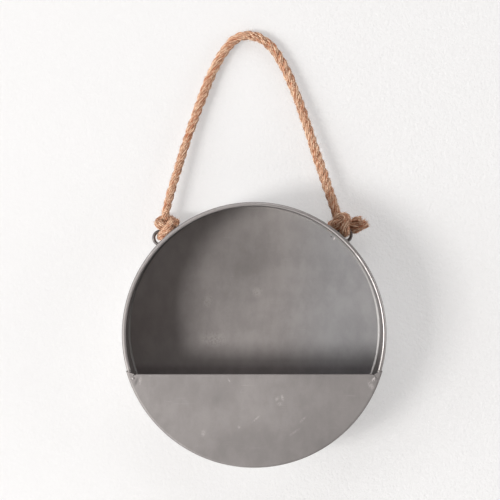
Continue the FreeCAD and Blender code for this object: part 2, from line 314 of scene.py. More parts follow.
# What the yarn's shade, its streaks and its fibres add to the tint, which goes from dark to light: a
# factor, or the noise's and then the tint's from and to
YARN_TINT = 0.6
STREAK_TINT = (0.40, 0.60, -0.24, 0.60)
FINE_TINT = (0.38, 0.62, 0.0, 0.28)
# The deep brown of the painted groove shade and of the bark specks, as a share of the dark fibres' colour, and how
# strongly both show
SHADE_AND_SPECK_JUTE = 0.58
SHADE_AND_SPECK_STRENGTH = 0.8
JUTE_ROUGHNESS = 0.85
JUTE_SHEEN = {"Sheen Weight": 0.1, "Sheen Roughness": 0.5}
JUTE_BUMP = {"strength": 0.7, "distance": 0.25 * MM}
HAIR_NOISE = {"scale": 900.0, "detail": 1.0}
HAIR_EDGES = (0.35, 0.65)
DARK_HAIR = 0.7
HAIR_ROUGHNESS = 0.8

# Where the sheet's colour shifts: axis, from and to in metres, and the colour's change there. The
# rolled rim is lighter, partly rubbed zinc and partly a painted highlight. The disc turns a cooler grey
# to the right as a painted reflection and has a painted shadow behind the panel's top edge, and the solder
# ring's left side and the panel's right side and bottom are darker with painted shade. Nothing shifts behind the
# front edges, in y, so that the planter's back is even.
FRONT_EDGES = (-0.0002, -0.0006)
PAINTED_LIGHT_DRIFTS = {
    "side_band": [(1, *RIM_EDGES, (1.12, 1.12, 1.12))],
    "back_disc": [(0, 0.01, 0.09, (0.98, 1.03, 1.07)), (2, -0.031, -0.039, (0.72, 0.70, 0.71))],
    "back_solder": [(0, 0.03, -0.06, (0.28, 0.28, 0.28))],
    "front_panel": [(0, 0.0, 0.09, (0.86, 0.86, 0.86)), (2, -0.07, -0.11, (0.91, 0.91, 0.91))],
}
# Scuffs, with a few painted shadows and highlights among them: place x and z, half width, half height (mm), turn,
# and strength, below 0 for dark ones
SCUFFS_AND_PAINTED_LIGHT = {
    "front_panel": [
        (21.5, -60.5, 2.4, 4.0, 0.6, 0.32),
        (26.6, -59.5, 2.0, 5.0, -0.2, 0.40),
        (24.0, -65.5, 4.0, 2.6, 0.0, 0.30),
        (1.7, -79.7, 6.5, 1.4, -0.75, 0.38),
        (46.0, -80.0, 7.0, 1.4, -0.75, 0.24),
        (38.0, -92.0, 9.0, 1.6, -0.60, 0.20),
        (-23.8, -43.0, 1.1, 3.0, -0.5, 0.55),
        (-14.4, -87.3, 2.0, 2.2, 0.0, 0.32),
        (-48.0, -93.0, 3.0, 5.0, 0.2, 0.28),
        (-36.0, -62.0, 6.0, 12.0, 0.5, -0.10),
        (112.4, -42.6, 2.2, 3.0, 0.5, 0.90),
        (110.0, -48.0, 3.5, 7.0, -0.5, 0.40),
        # A painted dent at the panel's left corner: a painted highlight with a painted shadow beside it
        (-107.4, -43.5, 1.6, 5.5, 0.1, 0.50),
        (-111.2, -44.5, 2.0, 6.0, 0.35, -0.50),
    ],
    "back_disc": [
        (3.0, 38.0, 8.0, 8.0, 0.4, 0.24),
        (-46.0, 30.0, 8.0, 10.0, 0.0, 0.16),
        (-41.0, -9.0, 18.0, 11.0, 0.0, 0.22),
        # A broad darker patch over the disc's upper middle
        (-10.0, 64.0, 50.0, 64.0, 0.3, -0.24),
        (-20.0, 32.0, 17.0, 14.0, 0.3, -0.10),
        (76.5, 92.8, 1.5, 1.0, 0.4, -1.0),
        (79.4, 91.0, 1.2, 2.4, 0.5, 1.0),
    ],
}


class RopeSettings(bpy.types.PropertyGroup):
    """How the jute rope is laid."""

    lay: bpy.props.FloatProperty(
        name="Lay",
        description="Length of rope in which a strand goes once round",
        default=27 * MM,
        min=10 * MM,
        unit="LENGTH",
    )
    yarn_lay: bpy.props.FloatProperty(
        name="Yarn lay",
        description="Length of strand in which a yarn goes once round, the other way",
        default=30 * MM,
        min=10 * MM,
        unit="LENGTH",
    )
    hairs: bpy.props.IntProperty(
        name="Hairs",
        description="Loose fibres on the free loop; each knot has a third as many",
        default=1900,
        min=0,
    )
    light: bpy.props.FloatVectorProperty(
        name="Light fibres", description="Colour of the palest fibres",
        subtype="COLOR", default=(1.0, 0.77, 0.555),
    )
    dark: bpy.props.FloatVectorProperty(
        name="Dark fibres", description="Colour of the brownest fibres",
        subtype="COLOR", default=(0.54, 0.19, 0.083),
    )


class MetalSettings(bpy.types.PropertyGroup):
    """The finish of the sheet, the wire and the solder."""

    sheet: bpy.props.FloatVectorProperty(
        name="Sheet", description="Colour of the galvanised sheet",
        subtype="COLOR", default=(0.361, 0.340, 0.331),
    )
    wire: bpy.props.FloatVectorProperty(
        name="Wire", description="Colour of the ears' wire",
        subtype="COLOR", default=(0.17, 0.155, 0.15),
    )
    solder: bpy.props.FloatVectorProperty(
        name="Solder", description="Colour of the solder",
        subtype="COLOR", default=(0.66, 0.64, 0.62),
    )


class StageSettings(bpy.types.PropertyGroup):
    """The wall, the light and the camera."""

    wall: bpy.props.FloatVectorProperty(
        name="Wall", description="Colour of the wall and the floor",
        subtype="COLOR", default=(0.82, 0.815, 0.81),
    )
    key_power: bpy.props.FloatProperty(
        name="Key", description="Power of the window light, in watts", default=151.0, min=0.0,
    )
    ambient: bpy.props.FloatProperty(
        name="Ambient", description="Strength of the light from all round", default=0.10, min=0.0,
    )
    glow: bpy.props.FloatProperty(
        name="Glow", description="How much of the wall's paleness no shadow takes away",
        default=0.42, min=0.0, max=1.0,
    )
    camera_place: bpy.props.FloatVectorProperty(
        name="Camera", description="Where the camera stands", subtype="TRANSLATION",
        default=(-0.004, -1.667, 0.07965),
    )
    lens: bpy.props.FloatProperty(
        name="Lens", description="Focal length in millimetres", default=121.2, min=10.0,
    )


# ---------------------------------------------------------------- rope geometry


def spline_points(route):
    """Close points along the smooth NURBS line of a route's control points."""
    curve = bpy.data.curves.new("route", "CURVE")
    curve.dimensions = "3D"
    spline = curve.splines.new("NURBS")
    spline.points.add(len(route) - 1)
    for point, place in zip(spline.points, route):
        point.co = (*place, 1.0)
    spline.order_u = 3
    spline.use_endpoint_u = True
    spline.resolution_u = SPLINE_STEPS
    mesh = mesh_of(curve)
    points = [vert.co.copy() for vert in mesh.vertices]
    bpy.data.meshes.remove(mesh)
    return points


def mesh_of(curve):
    """The mesh that a curve makes, in the curve's place."""
    carrier = bpy.data.objects.new(curve.name, curve)
    mesh = bpy.data.meshes.new_from_object(carrier)
    bpy.data.objects.remove(carrier)
    bpy.data.curves.remove(curve)
    return mesh


def at_share(table, share):
    """The value at a share of the way through a table of (share, value) pairs, eased between them."""
    for (start, low), (end, high) in zip(table, table[1:]):
        if share <= end:
            t = (share - start) / (end - start)
            return low + (high - low) * t * t * (3.0 - 2.0 * t)
    return table[-1][1]


class Line:
    """A rope's middle line as evenly spaced places, each with its direction and a steady side."""

    def __init__(self, points, first_side):
        reach = [0.0]
        for a, b in zip(points, points[1:]):
            reach.append(reach[-1] + (b - a).length)
        self.length = reach[-1]
        self.count = round(self.length / RING_STEP)
        self.places = []
        i = 0
        for ring in range(self.count + 1):
            distance = self.length * ring / self.count
            while i < len(points) - 2 and reach[i + 1] < distance:
                i += 1
            t = (distance - reach[i]) / (reach[i + 1] - reach[i])
            self.places.append(points[i].lerp(points[i + 1], t))
        self.heads = headings(self.places)
        self.sides = []
        side = first_side
        for head in self.heads:
            side = (side - head * side.dot(head)).normalized()
            self.sides.append(side)


def headings(places):
    """The direction of travel at each place of a line."""
    last = len(places) - 1
    return [(places[min(i + 1, last)] - places[max(i - 1, 0)]).normalized() for i in range(last + 1)]


def wave(along, steps, number, batch=1.0):
    """A smooth random value along a rope, its own for each strand or yarn and for each batch."""
    return noise.noise(Vector((along, number * steps[0], batch * steps[1])))


class Strand:
    """One strand of a laid rope along a Line: its middle, the way out and the rope's radius there."""

    def __init__(self, line, number, lay, radius_at, fan=None):
        self.line = line
        self.outs = []
        self.middles = []
        self.radii = []
        for ring, (place, head, side) in enumerate(zip(line.places, line.heads, line.sides)):
            share = ring / line.count
            distance = share * line.length
            steady = min(1.0, distance / EVEN_END, (line.length - distance) / EVEN_END)
            stray = wave(distance / WANDER_LENGTH, TURN_STEPS, number, line.length)
            turn = TAU * (number / STRANDS + distance / lay) + WANDER * steady * stray
            out = side * math.cos(turn) + head.cross(side) * math.sin(turn)
            stray = wave(distance / THICKENING_LENGTH, THICKNESS_STEPS, number)
            radius = radius_at(share) * MM * (1.0 + THICKENING * steady * stray)
            middle = place + out * radius * (1.0 - STRAND_SHARE)
            if fan:
                start, strays = fan
                t = max(0.0, (share - start) / (1.0 - start))
                middle += Vector(strays[number]) * MM * t**FRAY_POWER
                radius *= 1.0 + FRAY_SWELL * t
            self.outs.append(out)
            self.middles.append(middle)
            self.radii.append(radius)


def add_strand(bm, strand, yarn_lay, yarn_start, seed, roots, fibres):
    """Wraps a grid into a strand whose side bulges with its yarns, and keeps places for hairs."""
    line = strand.line
    sides = YARNS * SIDES_PER_YARN
    groove_shade_layer = bm.verts.layers.float["groove_shade"]
    shade_layer = bm.verts.layers.float["shade"]
    uv_layer = bm.loops.layers.uv["fibre"]
    heads = headings(strand.middles)
    chance = random.Random(seed)
    grid = bmesh.ops.create_grid(bm, x_segments=line.count, y_segments=sides, size=0.5)
    flat = {}
    for vert in grid["verts"]:
        ring = round((vert.co.x + 0.5) * line.count)
        column = round((vert.co.y + 0.5) * sides)
        distance = line.length * ring / line.count
        yarn = column // SIDES_PER_YARN % YARNS
        bulge = math.sin(math.pi * (column % SIDES_PER_YARN) / SIDES_PER_YARN)
        swell = wave(distance / SWELL_LENGTH, SWELL_STEPS, yarn, seed)
        radius = strand.radii[ring]
        reach = radius * STRAND_SHARE * (1.0 - YARN_GROOVE * (1.0 - bulge) + YARN_SWELL * swell * bulge)
        head = heads[ring]
        across = head.cross(strand.outs[ring]).normalized()
        out = across.cross(head)
        turn = TAU * column / sides + yarn_start - TAU * distance / yarn_lay
        way = out * math.cos(turn) + across * math.sin(turn)
        vert.co = strand.middles[ring] + way * reach
        depth = (vert.co - line.places[ring]).length / radius
        crevice = min(1.0, max(0.0, (CREVICE_START - depth) / CREVICE_DEPTH))
        # Painted shade: the crevices between strands and the grooves between yarns are darker
        vert[groove_shade_layer] = max(CREVICE_SHADE * crevice, GROOVE_SHADE * (1.0 - bulge))
        tone = wave(distance / SHADE_LENGTH, SHADE_STEPS, yarn, seed)
        vert[shade_layer] = min(1.0, max(0.0, 0.5 + SHADE_CONTRAST * tone))
        flat[vert] = (distance, TAU * STRAND_SHARE * radius * column / sides)
        if crevice < OPEN_CREVICE and bulge > YARN_BACK and chance.random() < ROOT_CHANCE:
            roots.append((vert.co.copy(), way, head))
            if ring + FIBRE_RINGS < line.count:
                fibres.append(surface_fibre(strand, ring, turn, yarn_lay, chance))
    for vert in grid["verts"]:
        for loop in vert.link_loops:
            loop[uv_layer].uv = flat[vert]
    bmesh.ops.remove_doubles(bm, verts=grid["verts"], dist=WELD_DISTANCE)


def surface_fibre(strand, ring, turn, yarn_lay, chance):
    """The points of a fibre that lies on the strand from a ring on, almost along its yarns."""
    line = strand.line
    slip = chance.uniform(-FIBRE_SLIP, FIBRE_SLIP)
    points = []
    for step in range(FIBRE_STEPS + 1):
        t = step / FIBRE_STEPS
        at = ring + round(t * FIBRE_RINGS)
        travelled = line.length * t * FIBRE_RINGS / line.count
        angle = turn - TAU * travelled / yarn_lay + slip * t
        head = line.heads[at]
        across = head.cross(strand.outs[at]).normalized()
        way = across.cross(head) * math.cos(angle) + across * math.sin(angle)
        lift = 1.0 + FIBRE_LIFT * (2.0 * t - 1.0) ** 2
        points.append(strand.middles[at] + way * strand.radii[at] * STRAND_SHARE * lift)
    return points


def laid_rope(name, line, radius_at, rope, yarn_start=0.0, fan=None):
    """A mesh of laid strands along a line, and the places and paths that its fibres can take."""
    bm = bmesh.new()
    bm.verts.layers.float.new("groove_shade")
    bm.verts.layers.float.new("shade")
    bm.loops.layers.uv.new("fibre")
    roots = []
    tips = []
    fibres = []
    seed = sum(map(ord, name))
    chance = random.Random(seed)
    for number in range(STRANDS):
        strand = Strand(line, number, rope.lay, radius_at, fan)
        add_strand(bm, strand, rope.yarn_lay, yarn_start, seed + number, roots, fibres)
        head = headings(strand.middles)[-1]
        out = strand.outs[-1]
        for _ in range(TIP_ROOTS):
            turn = chance.uniform(0.0, TAU)
            away = out * math.cos(turn) + head.cross(out) * math.sin(turn)
            reach = strand.radii[-1] * STRAND_SHARE * math.sqrt(chance.random())
            tips.append((strand.middles[-1] + away * reach, away, head))
    ends = [edge for edge in bm.edges if edge.is_boundary]
    bmesh.ops.holes_fill(bm, edges=ends, sides=0)
    bmesh.ops.recalc_face_normals(bm, faces=bm.faces)
    return finished(name, bm), roots, fibres, tips


def finished(name, bm, smooth=True):
    """A linked object with the bmesh as its mesh."""
    mesh = bpy.data.meshes.new(name)
    for face in bm.faces:
        face.smooth = smooth
    bm.to_mesh(mesh)
    bm.free()
    return linked(name, mesh)


def linked(name, data):
    """A new object in the scene, with its mesh, light or camera."""
    piece = bpy.data.objects.new(name, data)
    bpy.context.scene.collection.objects.link(piece)
    return piece


def hair_piece(name, roots, fibres, count, seed, tips=(), tip_reach=()):
    """Loose fibres that lift off the rope, and tufts at its cut strands, as one mesh.

    No loose fibre or tuft goes into the wall, which is at y = 0.
    """
    chance = random.Random(seed)
    curve = bpy.data.curves.new(name, "CURVE")
    curve.dimensions = "3D"
    curve.bevel_depth = HAIR_RADIUS
    curve.bevel_resolution = 0
    curve.use_fill_caps = True
    for places in chance.sample(fibres, round(count * LYING_SHARE)):
        add_thread(curve, places, [LYING_THICKNESS] * len(places))
    tapered = [1.0 - HAIR_TAPER * step / HAIR_STEPS for step in range(HAIR_STEPS + 1)]
    loose = [(chance.choice(roots), HAIR_REACH, HAIR_LIFT, (-1.0, 1.0)) for _ in range(count)]
    loose += [(tip, tip_reach, TUFT_LIFT, (1.0,)) for tip in tips]
    for root, reach, lift, ways in loose:
        length = chance.uniform(*reach) * MM
        rise = chance.uniform(*lift)
        lean = chance.uniform(-HAIR_LEAN, HAIR_LEAN)
        add_thread(curve, hair_places(root, length, rise, lean, chance.choice(ways)), tapered)
    mesh = mesh_of(curve)
    mesh.name = name
    return linked(name, mesh)


def add_thread(curve, places, thicknesses):
    """Adds a straight-sided line through the places to a curve, with a thickness at each."""
    spline = curve.splines.new("POLY")
    spline.points.add(len(places) - 1)
    for point, place, thickness in zip(spline.points, places, thicknesses):
        point.co = (*place, 1.0)
        point.radius = thickness


def hair_places(root, length, rise, lean, direction):
    """The places along a loose fibre, which goes up or down the rope from its root and lifts off."""
    place, out, head = root
    way = head * direction
    across = out.cross(head)
    places = []
    for step in range(HAIR_STEPS + 1):
        t = step / HAIR_STEPS
        at = place - out * HAIR_ROOT
        at = at + way * length * t * (1.0 - HAIR_SHORTENING * t * rise)
        at = at + out * min(length, HAIR_RISE) * rise * t * (HAIR_SLOPE + HAIR_CURL * t)
        at = at + across * length * lean * t * t
        at.y = min(at.y, -HAIR_RADIUS)
        places.append(at)
    return places


# ---------------------------------------------------------------- materials


# The sockets of a Mix node that are for colours
COLOUR_A = 6
COLOUR_B = 7
MIXED_COLOUR = 2


class Nodes:
    """Short ways to add and join a material's or a group's nodes."""

    def __init__(self, tree):
        self.tree = tree

    def add(self, kind, inputs=None, **settings):
        node = self.tree.nodes.new(kind)
        for name, value in settings.items():
            setattr(node, name, value)
        for name, value in (inputs or {}).items():
            self.put(value, node.inputs[name])
        return node

    def put(self, value, socket):
        if isinstance(value, bpy.types.NodeSocket):
            self.tree.links.new(value, socket)
        else:
            socket.default_value = value

    def math(self, operation, a, b=0.0, clamp=False):
        node = self.tree.nodes.new("ShaderNodeMath")
        node.operation = operation
        node.use_clamp = clamp
        self.put(a, node.inputs[0])
        self.put(b, node.inputs[1])
        return node.outputs[0]

    def between(self, value, low, high, to_low=0.0, to_high=1.0):
        node = self.add(
            "ShaderNodeMapRange",
            {"Value": value, "From Min": low, "From Max": high, "To Min": to_low, "To Max": to_high},
            interpolation_type="SMOOTHSTEP",
        )
        return node.outputs["Result"]

    def mix(self, factor, a, b, blend="MIX"):
        node = self.tree.nodes.new("ShaderNodeMix")
        node.data_type = "RGBA"
        node.blend_type = blend
        self.put(factor, node.inputs["Factor"])
        self.put(a, node.inputs[COLOUR_A])
        self.put(b, node.inputs[COLOUR_B])
        return node.outputs[MIXED_COLOUR]

    def mix_shaders(self, factor, a, b):
        return self.add("ShaderNodeMixShader", {0: factor, 1: a, 2: b}).outputs[0]

    def noise(self, vector, scale, detail, roughness=0.5):
        inputs = {"Vector": vector, "Scale": scale, "Detail": detail, "Roughness": roughness}
        return self.add("ShaderNodeTexNoise", inputs).outputs["Fac"]

    def stretched(self, vector, scale, rotation=(0.0, 0.0, 0.0)):
        inputs = {"Vector": vector, "Scale": scale, "Rotation": rotation}
        return self.add("ShaderNodeMapping", inputs).outputs["Vector"]

    def bump(self, height, strength, distance):
        inputs = {"Height": height, "Strength": strength, "Distance": distance}
        return self.add("ShaderNodeBump", inputs).outputs["Normal"]


def group(name, inputs, outputs):
    """An empty shader group with float or vector inputs and float outputs."""
    tree = bpy.data.node_groups.new(name, "ShaderNodeTree")
    for label, kind in inputs:
        tree.interface.new_socket(label, in_out="INPUT", socket_type=kind)
    for label in outputs:
        tree.interface.new_socket(label, in_out="OUTPUT", socket_type="NodeSocketFloat")
    nodes = Nodes(tree)
    return tree, nodes, nodes.add("NodeGroupInput").outputs, nodes.add("NodeGroupOutput").inputs


def shaded(colour, factor):
    """The colour, that much lighter or darker and no lighter than white, with its alpha."""
    return tuple(min(1.0, c * factor) for c in colour) + (1.0,)


def worn_sheet_group():
    """Cloudy mottling, fine grain, thin scratches and shallow dents of handled zinc."""
    tree, nodes, given, out = group(
        "worn_sheet",
        [("Place", "NodeSocketVector"), ("Scratches", "NodeSocketFloat")],
        ["Shade", "Rub", "Height"],
    )
    place = given["Place"]
    cloud = nodes.noise(place, **CLOUD_NOISE)
    patch = nodes.noise(nodes.stretched(place, PATCH_STRETCH), **PATCH_NOISE)
    grain = nodes.noise(place, **GRAIN_NOISE)
    mottling = nodes.math("ADD", nodes.between(cloud, *CLOUD_EDGES), nodes.between(patch, *PATCH_EDGES))
    mottling = nodes.math("MULTIPLY", mottling, MOTTLING)
    shade = nodes.math("ADD", mottling, nodes.math("MULTIPLY", grain, GRAIN))
    streaks = 0.0
    for turn in SCRATCH_TURNS:
        along = nodes.stretched(place, SCRATCH_STRETCH, (0.0, turn, 0.0))
        streak = nodes.between(nodes.noise(along, scale=1.0, detail=2.0), *SCRATCH_EDGES)
        streaks = nodes.math("MAXIMUM", streaks, streak)
    where = nodes.between(nodes.noise(place, **HANDLED_NOISE), *HANDLED_EDGES)
    rub = nodes.math("MULTIPLY", nodes.math("MULTIPLY", streaks, where), given["Scratches"])
    dents = nodes.noise(place, **DENT_NOISE)
    height = nodes.math("ADD", dents, nodes.math("MULTIPLY", grain, GRAIN_HEIGHT))
    nodes.put(shade, out["Shade"])
    nodes.put(rub, out["Rub"])
    nodes.put(height, out["Height"])
    return tree


def fibre_group():
    """Long thin streaks of jute fibre along a yarn, and specks of bark."""
    tree, nodes, given, out = group(
        "jute_fibre", [("Flat", "NodeSocketVector")], ["Streak", "Fine", "Speck"],
    )
    flat = given["Flat"]
    streak = nodes.noise(nodes.stretched(flat, STREAK_STRETCH), scale=1.0, detail=2.0)
    fine = nodes.noise(nodes.stretched(flat, FINE_STRETCH), scale=1.0, detail=2.0, roughness=0.6)
    speck = nodes.noise(nodes.stretched(flat, SPECK_STRETCH), scale=1.0, detail=1.0)
    nodes.put(nodes.between(speck, *SPECK_EDGES), out["Speck"])
    nodes.put(streak, out["Streak"])
    nodes.put(fine, out["Fine"])
    return tree


def new_material(name):
    """A material with one shader, and short ways to reach both."""
    material = bpy.data.materials.new(name)
    material.use_nodes = True
    nodes = Nodes(material.node_tree)
    return material, nodes, material.node_tree.nodes["Principled BSDF"].inputs


def scuffed_and_shaded(nodes, place, tone, colour, scuffs_and_shading):
    """The tone with scuff marks on it, light ones of worn-through metal and dark ones of grime, and a few painted
    highlights and shadows among them.
    """
    patchy = nodes.between(nodes.noise(place, **SCUFF_NOISE), *SCUFF_EDGES)
    bare_and_highlight = shaded(colour, SCUFF_BARE_AND_HIGHLIGHT)
    dirt_and_shade = shaded(colour, SCUFF_DIRT_AND_SHADE)
    for x, z, wide, high, turn, strength in scuffs_and_shading:
        inputs = {
            "Vector": place,
            "Location": (x * MM, 0.0, z * MM),
            "Rotation": (0.0, turn, 0.0),
            "Scale": (wide * MM, 1.0, high * MM),
        }
        local = nodes.add("ShaderNodeMapping", inputs, vector_type="TEXTURE").outputs["Vector"]
        reach = nodes.add("ShaderNodeVectorMath", {0: local}, operation="LENGTH").outputs["Value"]
        mask = nodes.between(reach, *SCUFF_FADE, 0.0, abs(strength))
        if strength > 0.0:
            tone = nodes.mix(nodes.math("MULTIPLY", mask, patchy), tone, bare_and_highlight)
        else:
            tone = nodes.mix(mask, tone, dirt_and_shade)
    return tone


def sheet_material(name, colour, roughness, light_drifts=(), scuffs_and_shading=(), dull_side=0.0, edge=1.0):
    """Galvanised sheet: satin, cloudy and lightly scratched, with some painted light and shade.

    dull_side is how much rougher it gets to the left, and edge how bright the rolled rim stays under its painted
    shade at a glancing look.
    """
    material, nodes, shader = new_material(name)
    place = nodes.add("ShaderNodeTexCoord").outputs["Object"]
    worn = nodes.add("ShaderNodeGroup", node_tree=bpy.data.node_groups["worn_sheet"])
    nodes.put(place, worn.inputs["Place"])
    worn.inputs["Scratches"].default_value = SCRATCHES
    tone = nodes.mix(worn.outputs["Shade"], shaded(colour, DULL_SHEET), shaded(colour, FRESH_SHEET))
    tone = nodes.mix(worn.outputs["Rub"], tone, shaded(colour, BARE_SHEET))
    apart = nodes.add("ShaderNodeSeparateXYZ", {"Vector": place})
    front = nodes.between(apart.outputs["Y"], *FRONT_EDGES)
    # Painted light and shade, and the rim's lightness, which is partly rubbed zinc and partly a painted highlight
    for axis, start, end, change in light_drifts:
        there = nodes.math("MULTIPLY", nodes.between(apart.outputs[axis], start, end), front)
        tone = nodes.mix(there, tone, (*change, 1.0), blend="MULTIPLY")
    # Painted shade: the rolled rim darkens where it turns away from the eye
    facing = nodes.add("ShaderNodeLayerWeight", {"Blend": 0.5}).outputs["Facing"]
    rolled = nodes.between(apart.outputs["Y"], *RIM_EDGES, 0.0, 1.0 - edge)
    darker = nodes.math("MULTIPLY", nodes.between(facing, *TURNED_EDGES), rolled)
    tone = nodes.mix(darker, scuffed_and_shaded(nodes, place, tone, colour, scuffs_and_shading), TURNED_SHADE_COLOUR)
    nodes.put(tone, shader["Base Color"])
    rough, smooth = roughness + ROUGHNESS_RANGE, roughness - ROUGHNESS_RANGE
    satin = nodes.between(worn.outputs["Shade"], *SHADE_EDGES, rough, smooth)
    left = nodes.between(apart.outputs["X"], *DULL_SIDE_EDGES, 0.0, dull_side)
    nodes.put(nodes.math("ADD", satin, left), shader["Roughness"])
    shader["Metallic"].default_value = 1.0
    nodes.put(nodes.bump(worn.outputs["Height"], **SHEET_BUMP), shader["Normal"])
    return material


def plain_metal(name, colour, roughness, metallic, grain):
    """Wire or solder: one metal with a slightly uneven surface."""
    material, nodes, shader = new_material(name)
    place = nodes.add("ShaderNodeTexCoord").outputs["Object"]
    cloud = nodes.noise(place, grain, detail=3.0, roughness=0.6)
    tone = nodes.mix(
        nodes.between(cloud, *METAL_EDGES), shaded(colour, DULL_METAL), shaded(colour, FRESH_METAL),
    )
    nodes.put(tone, shader["Base Color"])
    rough, smooth = (roughness + change for change in METAL_ROUGHNESS_RANGE)
    nodes.put(nodes.between(cloud, *METAL_EDGES, rough, smooth), shader["Roughness"])
    shader["Metallic"].default_value = metallic
    nodes.put(nodes.bump(cloud, **METAL_BUMP), shader["Normal"])
    return material


def jute_material(rope):
    """Jute: streaky fibres with specks of bark, and a painted shade of deeper brown in the grooves between yarns
    and strands.
    """
    material, nodes, shader = new_material("laid_jute")
    flat = nodes.add("ShaderNodeUVMap", uv_map="fibre").outputs["UV"]
    groove_shade = nodes.add("ShaderNodeAttribute", attribute_name="groove_shade").outputs["Fac"]
    shade = nodes.add("ShaderNodeAttribute", attribute_name="shade").outputs["Fac"]
    fibre = nodes.add("ShaderNodeGroup", node_tree=bpy.data.node_groups["jute_fibre"])
    nodes.put(flat, fibre.inputs["Flat"])
    tint = nodes.math("MULTIPLY", shade, YARN_TINT)
    tint = nodes.math("ADD", tint, nodes.between(fibre.outputs["Streak"], *STREAK_TINT))
    tint = nodes.math("ADD", tint, nodes.between(fibre.outputs["Fine"], *FINE_TINT), clamp=True)
    colour = nodes.mix(tint, (*rope.dark, 1.0), (*rope.light, 1.0))
    # Bark specks join the painted shade of the grooves, and both darken the colour to a deep brown
    groove_shade = nodes.math("MAXIMUM", groove_shade, fibre.outputs["Speck"])
    groove_shade = nodes.math("MULTIPLY", groove_shade, SHADE_AND_SPECK_STRENGTH)
    nodes.put(nodes.mix(groove_shade, colour, shaded(rope.dark, SHADE_AND_SPECK_JUTE)), shader["Base Color"])
    shader["Roughness"].default_value = JUTE_ROUGHNESS
    for label, value in JUTE_SHEEN.items():
        shader[label].default_value = value
    nodes.put(nodes.bump(fibre.outputs["Fine"], **JUTE_BUMP), shader["Normal"])
    return material


def hair_material(rope):
    """The loose fibres, each a little lighter or darker by its place."""
    material, nodes, shader = new_material("loose_jute")
    place = nodes.add("ShaderNodeTexCoord").outputs["Object"]
    tint = nodes.between(nodes.noise(place, **HAIR_NOISE), *HAIR_EDGES)
    colour = nodes.mix(tint, shaded(rope.dark, DARK_HAIR), (*rope.light, 1.0))
    nodes.put(colour, shader["Base Color"])
    shader["Roughness"].default_value = HAIR_ROUGHNESS
    return material


def wall_material(colour, glow):
    """The wall and the floor, of plaster that is coarser to the right.

    From behind, and right behind the planter, the wall isn't there.
    """
    material, nodes, shader = new_material("pale_wall")
    place = nodes.add("ShaderNodeTexCoord").outputs["Object"]
    nodes.put((*colour, 1.0), shader["Base Color"])
    shader["Roughness"].default_value = PLASTER_ROUGHNESS
    height = nodes.noise(place, **PLASTER_GRAIN)
    across = nodes.add("ShaderNodeSeparateXYZ", {"Vector": place}).outputs["X"]
    coarse = nodes.between(across, *PLASTER_COARSENING)
    nodes.put(nodes.bump(height, coarse, PLASTER_DEPTH), shader["Normal"])
    path = nodes.add("ShaderNodeLightPath").outputs
    behind = nodes.add("ShaderNodeNewGeometry").outputs["Backfacing"]
    behind = nodes.math("MULTIPLY", behind, path["Is Camera Ray"])
    near = nodes.math("LESS_THAN", path["Ray Length"], WALL_CLEARING)
    hidden = nodes.math("MAXIMUM", behind, near)
    emission = {"Color": (*colour, 1.0), "Strength": PLASTER_GLOW}
    pale = nodes.add("ShaderNodeEmission", emission).outputs[0]
    seen = nodes.math("MAXIMUM", path["Is Camera Ray"], path["Is Glossy Ray"])
    plaster = material.node_tree.nodes["Principled BSDF"].outputs[0]
    lit = nodes.mix_shaders(nodes.math("MULTIPLY", seen, glow), plaster, pale)
    clear = nodes.add("ShaderNodeBsdfTransparent").outputs[0]
    surface = nodes.mix_shaders(hidden, lit, clear)
    nodes.put(surface, material.node_tree.nodes["Material Output"].inputs["Surface"])
    return material


def give(piece, material):
    """The piece's one material, also where a carried-over node had its own."""
    piece.data.materials.clear()
    piece.data.materials.append(material)


# ---------------------------------------------------------------- operators


def area_light(name, place, size, power, colour):
    """A soft light, so wide and so high, turned to the drum's middle."""
    light = bpy.data.lights.new(name, "AREA")
    light.energy = power
    light.shape = "RECTANGLE"
    light.size, light.size_y = size
    light.color = colour
    lamp = linked(name, light)
    lamp.location = place
    lamp.rotation_euler = (-Vector(place)).to_track_quat("-Z", "Y").to_euler()


class PLANTER_OT_stage(bpy.types.Operator):
    """Set up the wall, the floor, the soft light and the camera"""

    bl_idname = "planter.stage"
    bl_label = "Stage"

    def execute(self, context):
        settings = context.scene.planter_stage
        camera = linked("camera", bpy.data.cameras.new("camera"))
        camera.data.lens = settings.lens
        camera.location = settings.camera_place
        camera.rotation_euler = (UPRIGHT, 0.0, 0.0)
        context.scene.camera = camera
        material = wall_material(settings.wall, settings.glow)
        for name, matrix in (("wall", WALL_PLACE), ("floor", FLOOR_PLACE)):
            bm = bmesh.new()
            bmesh.ops.create_grid(bm, x_segments=1, y_segments=1, size=STAGE_HALF)
            bmesh.ops.transform(bm, matrix=matrix, verts=bm.verts)
            plane = finished(name, bm, smooth=False)
            give(plane, material)
        area_light("key", KEY_PLACE, KEY_SIZE, settings.key_power, KEY_COLOUR)
        for name, (place, size, power) in SIDE_LIGHTS.items():
            area_light(name, place, size, power, SIDE_COLOUR)
        self.surround(context.scene, settings.ambient)
        context.scene.view_settings.view_transform = "Standard"
        return {"FINISHED"}

    def surround(self, scene, ambient):
        """A dim room, which the camera sees as white."""
        world = bpy.data.worlds.new("studio")
        world.use_nodes = True
        scene.world = world
        nodes = Nodes(world.node_tree)
        back = world.node_tree.nodes["Background"]
        seen = nodes.add("ShaderNodeLightPath").outputs["Is Camera Ray"]
        nodes.put(nodes.mix(seen, AMBIENT_COLOUR, WHITE), back.inputs["Color"])
        nodes.put(nodes.between(seen, 0.0, 1.0, ambient, 1.0), back.inputs["Strength"])


